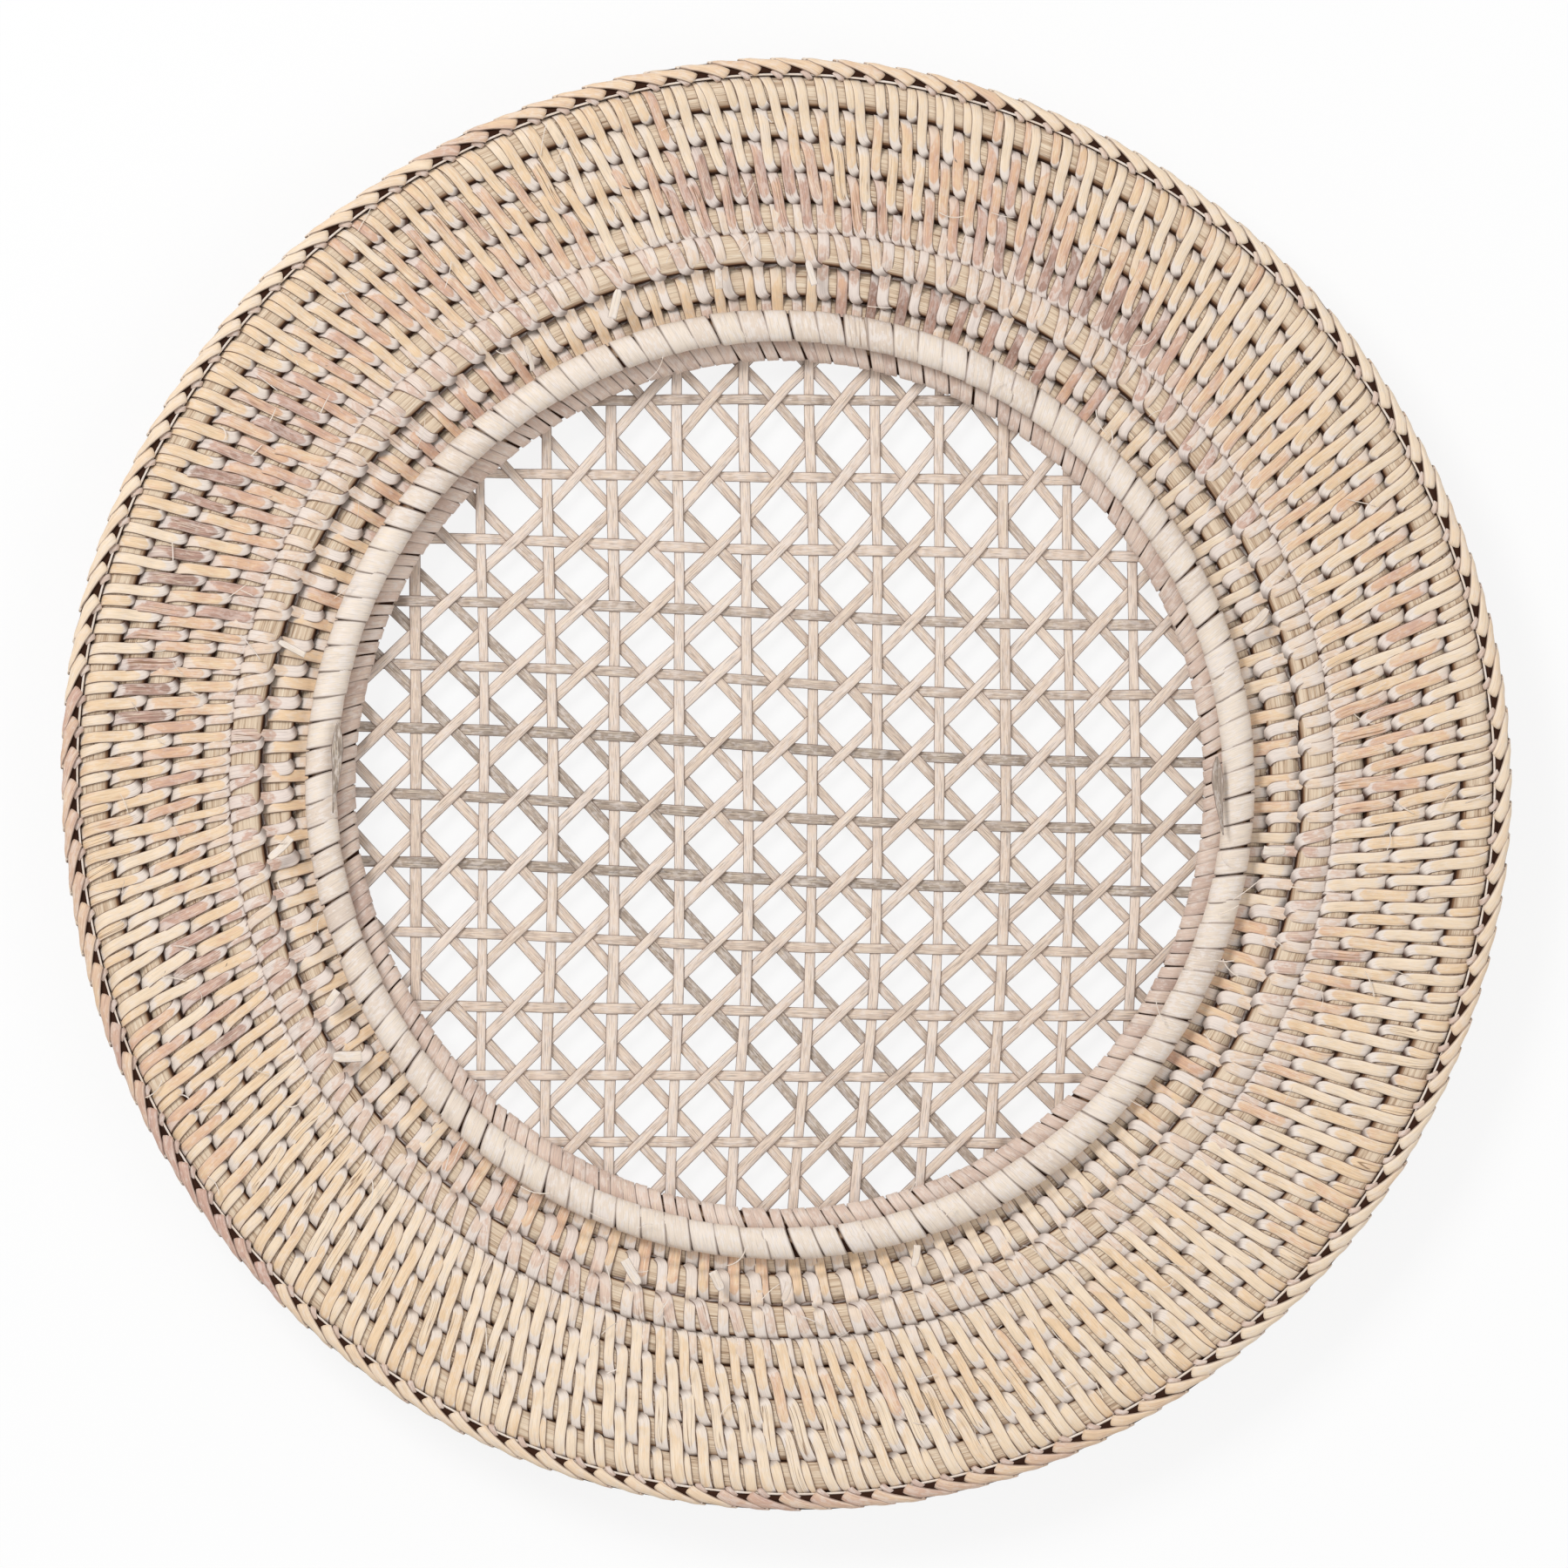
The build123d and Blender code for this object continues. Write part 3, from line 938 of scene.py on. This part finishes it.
# The collar's, from under one leaf, round the short stitch's head, to under the next.
COLLAR_INNER = ((-4.4, 1.3, 3.2), (-3.9, 0.95, 2.0), (-3.1, 0.3, 1.6), (-2.2, -0.4, 1.7), (-1.9, -0.7, 2.6))
COLLAR_OUTER = ((-2.8, 2.2, 3.0), (-2.2, 1.7, 1.8), (-1.5, 1.0, 1.5), (-0.7, 0.1, 1.6), (-0.5, -0.3, 2.4))


def plaited_edge():
    """Leaves folded over the rim, each to a tip at a short stitch, with collars between them."""
    angle = np.arange(BRIM_STITCHES) * tau / BRIM_STITCHES
    stations = 30
    swell = np.interp(np.linspace(0, 1, stations), (0, 0.3, 0.75, 0.85, 1), (0.3, 0.5, 0.35, 0, 0))
    binder_inner, binder_outer = rows[0].outer + 0.05 * MM, rows[0].outer + 0.6 * MM
    for side, word in ((1, "over"), (-1, "under")):
        tones, _ = runs_of_stitches(angle, 21, 32)
        tones -= 0.45 * np.clip(-np.sin(angle), 0, 1)
        leaves = f"edge_leaves_{word}"
        edge_strips(
            leaves, LEAF_INNER, LEAF_OUTER, tones, side, stations, edge_cane, STRIP_THICKNESS, swell
        )
        tones = 0.6 * tones
        collars = f"edge_collars_{word}"
        edge_strips(
            collars, COLLAR_INNER, COLLAR_OUTER, tones, side, 14, ring_cane, 0.35 * MM, 0.1
        )
        height = edge_ring.middle + side * (edge_ring.half_height - 1.8 * MM)
        binder = Ring(binder_inner, binder_outer, height - 0.3 * MM, height + 0.3 * MM)
        rod(f"edge_binder_{word}", binder, 0, None, material=well_cane, corners=8)


plaited_edge()


# ---------------------------------------------------------------- cane floor
CANE_SHARE = 0.9  # how wide the floor's canes look, of the CAD canes' width


def centre_and_size(node):
    """The middle and the size of a node's box."""
    low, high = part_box(node)
    return (np.array(low) + high) / 2, np.array(high) - low


uprights = [f"upright_cane_{number:02}" for number in range(1, 13)]
levels = [f"level_cane_{number:02}" for number in range(1, 13)]
upright_x = np.array([centre_and_size(node)[0][0] for node in uprights])
level_y = np.array([centre_and_size(node)[0][1] for node in levels])
cane_width = centre_and_size(uprights[0])[1][0]
cane_layer = centre_and_size(uprights[0])[1][2]
mesh_pitch = float(upright_x[1] - upright_x[0])
weave_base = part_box("falling_canes")[0][2]
cane_end = np.hypot(upright_x[5], centre_and_size(uprights[5])[1][1] / 2)


def bell(distance, reach):
    """1 at a crossing, falling smoothly to 0 beyond its reach."""
    return 1 / (1 + (distance / reach) ** 6)


def pulled(line):
    """Where the mesh really lies: its canes are pulled out of line, most on the left and below."""
    u, v = line[:, 0] / cane_end, line[:, 1] / cane_end
    band = np.cos(pi / 2 * np.clip((v - 0.08) / 0.9, -1, 1)) ** 2
    sag = band * (0.8 - 5.2 * np.tanh(1.5 * (u + 0.22)))
    settle = -2.6 + 4.2 * np.clip((v - 0.55) / 0.32, 0, 1) ** 1.5
    swing = np.exp(-(((u - 0.3) / 0.5) ** 2))
    lean = swing * (1.3 * np.clip(v, 0, 1) ** 2 - 5 * np.clip(-v, 0, 1) ** 2)
    return line + np.stack([2.2 - 1.8 * u + lean, sag + settle], axis=-1) * MM


def lay_cane(name, node, start, end, level_of, bow, tone, stations=150):
    """One cane of the floor from start to end, with its height above the lowest layer."""
    share = np.linspace(-0.12, 1.12, 4 * stations)[:, None]
    start, end = np.array(start), np.array(end)
    line = start + (end - start) * share
    across = np.array([-(end - start)[1], (end - start)[0]])
    across = across / np.linalg.norm(across)
    drift = bow * np.sin(pi * share) + random.normal(0, 0.25 * MM) * np.sin(3 * pi * share + 1)
    level = level_of(line[:, 0], line[:, 1])
    line = pulled(line + across * drift)
    kept = np.flatnonzero(np.hypot(line[:, 0], line[:, 1]) < cane_end)
    at = np.linspace(kept[0], kept[-1], stations)
    steps = np.arange(len(line))
    x, y, layer = (np.interp(at, steps, values) for values in (line[:, 0], line[:, 1], level))
    centre = np.stack([x, y, weave_base + cane_layer * layer], axis=-1)[None]
    normal = np.broadcast_to([0.0, 0.0, 1.0], centre.shape)
    ripple = 1 + 0.04 * np.sin(np.linspace(0, 21, stations) + random.uniform(0, 6))
    width = (cane_width * CANE_SHARE * random.normal(1, 0.05) * ripple)[None]
    piece = lay_strips(
        name, centre, normal, width, cane_layer, np.array([tone]), mesh_cane, np.array([0.6])
    )
    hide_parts(node)


def past_line(value, shift):
    """Distance from the nearest line of a family laid at the mesh's pitch."""
    return np.abs((value - shift + mesh_pitch / 2) % mesh_pitch - mesh_pitch / 2)


def falling_height(x, y):
    """Falling diagonals lie lowest."""
    return np.zeros(x.shape)


def rising_height(x, y):
    """Rising diagonals lie on the falling ones."""
    return np.ones(x.shape)


def level_height(x, y):
    """Level canes ride over the uprights and dip under the diagonals between them."""
    return -1 + 4.05 * bell(past_line(x, upright_x[0]), 3.1 * MM)


def upright_height(x, y):
    """Upright canes sag a little under the level ones."""
    return 2.05 - 0.15 * bell(past_line(y, level_y[0]), 3 * MM)


def chord(distance):
    """Half the length of a cane that passes the centre at a distance."""
    return float(np.sqrt(max(cane_end**2 - distance**2, 0)))


def diagonal_places(shift):
    """Distances from the centre of the diagonals of one family."""
    pitch = mesh_pitch / np.sqrt(2)
    places = shift % pitch + pitch * np.arange(-12, 13)
    return [place for place in places if abs(place) < cane_end - 11.5 * MM]


def weave_floor():
    """The four families of canes: two straight and two slanting."""
    for node, x in zip(uprights, upright_x):
        half, bow = chord(x), random.normal(0, 0.4 * MM)
        tone = random.uniform(0.45, 0.95)
        lay_cane(f"{node}_woven", node, (x, -half), (x, half), upright_height, bow, tone)
    for node, y in zip(levels, level_y):
        half, bow = chord(y), random.normal(0, 0.3 * MM)
        tone = random.uniform(0.25, 0.75) - 0.2 * (abs(y) < 30 * MM)
        lay_cane(f"{node}_woven", node, (-half, y), (half, y), level_height, bow, tone, 260)
    half_step = mesh_pitch / 2
    rising_shift = (level_y[0] - upright_x[0] - half_step) / np.sqrt(2)
    falling_shift = (level_y[0] + upright_x[0] + half_step) / np.sqrt(2)
    families = (
        ("rising", 45, rising_height, rising_shift, (0.5, 1.0)),
        ("falling", -45, falling_height, falling_shift, (0.3, 0.8)),
    )
    for word, degrees, level_of, shift, tones in families:
        along = np.array([np.cos(radians(degrees)), np.sin(radians(degrees))])
        off = np.array([-along[1], along[0]])
        for number, place in enumerate(diagonal_places(shift), start=1):
            half, bow = chord(place), random.normal(0, 0.35 * MM)
            weathered = word == "falling" and abs(place + 35 * MM) < 18 * MM
            tone = random.uniform(*tones) * (0.25 if weathered else 1)
            start, end = off * place - along * half, off * place + along * half
            name, node = f"{word}_cane_{number:02}_woven", f"{word}_canes"
            lay_cane(name, node, start, end, level_of, bow, tone)


weave_floor()


# ---------------------------------------------------------------- stage
FRAME_MARGIN = 13.85 * MM  # how much floor the picture shows on each side of the basket
CAMERA_DISTANCE = 3.0
SENSOR_WIDTH = 36  # in mm, as Blender counts lenses


def plain_floor():
    """A white floor that keeps a soft shadow and shows as white to the camera."""
    bpy.ops.mesh.primitive_plane_add(size=6, location=(0, 0, 0))
    floor = bpy.context.object
    floor.name = "floor"
    s = Shader("floor_white")
    s.surface.inputs["Base Color"].default_value = (0.9, 0.9, 0.9, 1)
    s.surface.inputs["Roughness"].default_value = 0.9
    rays = s.node("ShaderNodeLightPath")
    seen = s.math("MAXIMUM", rays.outputs["Is Camera Ray"], rays.outputs["Is Glossy Ray"])
    seen = s.math("MAXIMUM", seen, rays.outputs["Is Transmission Ray"])
    glow = s.node("ShaderNodeEmission", None, Color=(1, 1, 1, 1), Strength=1.0)
    share = s.math("MULTIPLY", seen, 0.85)
    both = s.node("ShaderNodeMixShader", None, Fac=share, i1=s.surface.outputs[0], i2=glow.outputs[0])
    s.tree.links.new(both.outputs[0], s.tree.nodes["Material Output"].inputs["Surface"])
    floor.data.materials.append(s.material)


def soft_lamp(name, place, size, power):
    """A square lamp that points at the basket."""
    data = bpy.data.lights.new(name, "AREA")
    data.shape = "SQUARE"
    data.size = size
    data.energy = power
    lamp = bpy.data.objects.new(name, data)
    bpy.context.scene.collection.objects.link(lamp)
    lamp.location = place
    away = np.array(place) - np.array([0, 0, 0.02])
    lamp.rotation_euler = Vector(away).to_track_quat("Z", "Y").to_euler()


def studio():
    """Plain soft light, and a camera straight above."""
    scene = bpy.context.scene
    world = bpy.data.worlds.new("studio")
    world.use_nodes = True
    world.node_tree.nodes["Background"].inputs["Color"].default_value = (1, 1, 1, 1)
    world.node_tree.nodes["Background"].inputs["Strength"].default_value = 0.5
    scene.world = world
    soft_lamp("key", (-0.9, 0.9, 1.6), 0.7, 22)
    soft_lamp("fill", (1.2, -0.5, 1.5), 1.2, 7.5)
    scene.view_settings.view_transform = "Standard"

    seen_width = 2 * (edge_ring.outer + FRAME_MARGIN)
    data = bpy.data.cameras.new("camera")
    data.sensor_width = SENSOR_WIDTH
    data.lens = SENSOR_WIDTH * CAMERA_DISTANCE / seen_width
    camera = bpy.data.objects.new("camera", data)
    camera.location = (-0.3 * MM, 0.2 * MM, edge_ring.middle + CAMERA_DISTANCE)
    bpy.context.scene.collection.objects.link(camera)
    scene.camera = camera


plain_floor()
studio()
